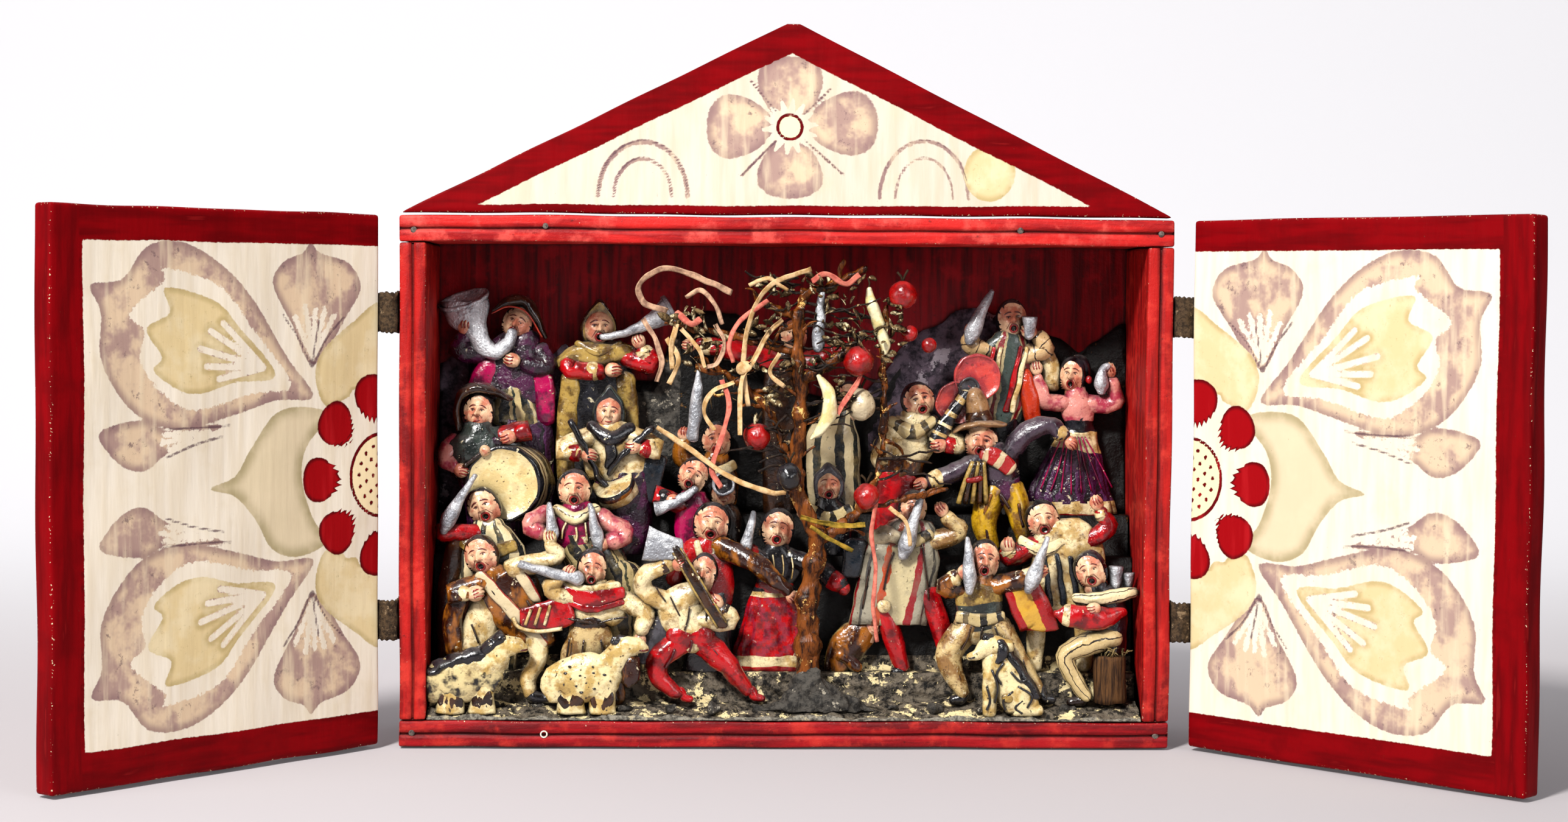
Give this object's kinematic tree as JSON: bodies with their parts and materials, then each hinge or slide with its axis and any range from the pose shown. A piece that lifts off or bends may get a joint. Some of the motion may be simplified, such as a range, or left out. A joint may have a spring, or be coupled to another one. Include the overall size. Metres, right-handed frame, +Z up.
{
  "type": "folding shrine box",
  "caption": "Open wooden shrine box with a triangular gable, two painted doors on leather strap hinges, and painted paste figures of musicians round a small tree inside.",
  "frame": {"origin": "centre of the underside of the case, halfway between its front edge and its back", "axes": "+Z up, +X to the right as seen from the open front, -Y towards the viewer"},
  "size_m": [0.5626, 0.1825, 0.2996],
  "materials": {
    "black_paste": "painted hard paste, varnished",
    "black_plaster": "black painted plaster with chips and dust",
    "brown_paste": "painted hard paste, varnished",
    "cream_paint": "cream ground with painted flowers, worn",
    "cream_paste": "painted hard paste, varnished",
    "dark_red_paint": "thin dark red paint over bare wood grain",
    "dark_wood": "dark stained wood",
    "glossy_red": "varnished red paint on hard paste",
    "grey_paste": "painted hard paste, dusty varnish",
    "grey_plaster": "grey and purple painted plaster, dusty",
    "leather": "rough flesh side, dry",
    "magenta_paste": "painted hard paste, varnished",
    "ochre_paste": "painted hard paste, dusty varnish",
    "purple_paste": "painted hard paste, varnished",
    "red_paint": "opaque red water paint on wood, rubbed and chipped",
    "red_paste": "painted hard paste, varnished",
    "silver_paint": "silver paint on hard paste",
    "twig": "varnished natural twig",
    "yellow_paint": "glossy yellow paint on hard paste"
  },
  "bodies": {
    "case": {"axe_man": "cream_paste", "banana_left": "yellow_paint", "banana_right": "yellow_paint", "bass_drummer": "grey_paste", "beige_poncho_singer": "cream_paste", "bell_player": "brown_paste", "block_stool": "dark_wood", "bottle_raiser": "cream_paste", "cap_singer": "black_paste", "case_back": "dark_red_paint", "case_floor": "red_paint", "case_side_left": "red_paint", "case_side_right": "red_paint", "case_top": "red_paint", "crouching_figure": "brown_paste", "dancer": "purple_paste", "dark_bulb": "black_paste", "dark_dress_woman": "black_paste", "dog": "cream_paste", "front_man": "cream_paste", "gable_board": "cream_paint", "grey_poncho_man": "grey_paste", "guitar_player": "cream_paste", "hat_man": "purple_paste", "hidden_singer": "brown_paste", "hill_relief": "grey_plaster", "horn_woman": "cream_paste", "hung_bottle_left": "silver_paint", "hung_bottle_right": "silver_paint", "leaning_man": "brown_paste", "long_horn_player": "ochre_paste", "pale_bulb": "cream_paste", "plaster_ground": "black_plaster", "red_ball_left": "glossy_red", "red_ball_lower": "glossy_red", "red_ball_top": "glossy_red", "red_ball_upper": "glossy_red", "red_sleeved_singer": "red_paste", "red_vest_singer": "red_paste", "seated_player": "cream_paste", "sheep_left": "cream_paste", "sheep_right": "cream_paste", "small_horn_player": "magenta_paste", "snare_drummer": "cream_paste", "strap_left_1_case": "leather", "strap_left_2_case": "leather", "strap_right_1_case": "leather", "strap_right_2_case": "leather", "striped_poncho_man": "cream_paste", "tall_man": "grey_paste", "tree": "twig", "tuba_player": "magenta_paste", "two_bottle_man": "grey_paste"},
    "left_door": {"door_left": "cream_paint", "strap_left_1_door": "leather", "strap_left_2_door": "leather"},
    "right_door": {"door_right": "cream_paint", "strap_right_1_door": "leather", "strap_right_2_door": "leather"}
  },
  "joints": [
    {"name": "left_door_hinge", "type": "hinge", "parent": "case", "child": "left_door", "pos_m": [-0.16364, -0.03086, 0.11], "axis": [0, 0, 1], "range_deg": [-48, 132]},
    {"name": "right_door_hinge", "type": "hinge", "parent": "case", "child": "right_door", "pos_m": [0.16364, -0.03086, 0.11], "axis": [0, 0, 1], "range_deg": [-132, 48]}
  ]
}
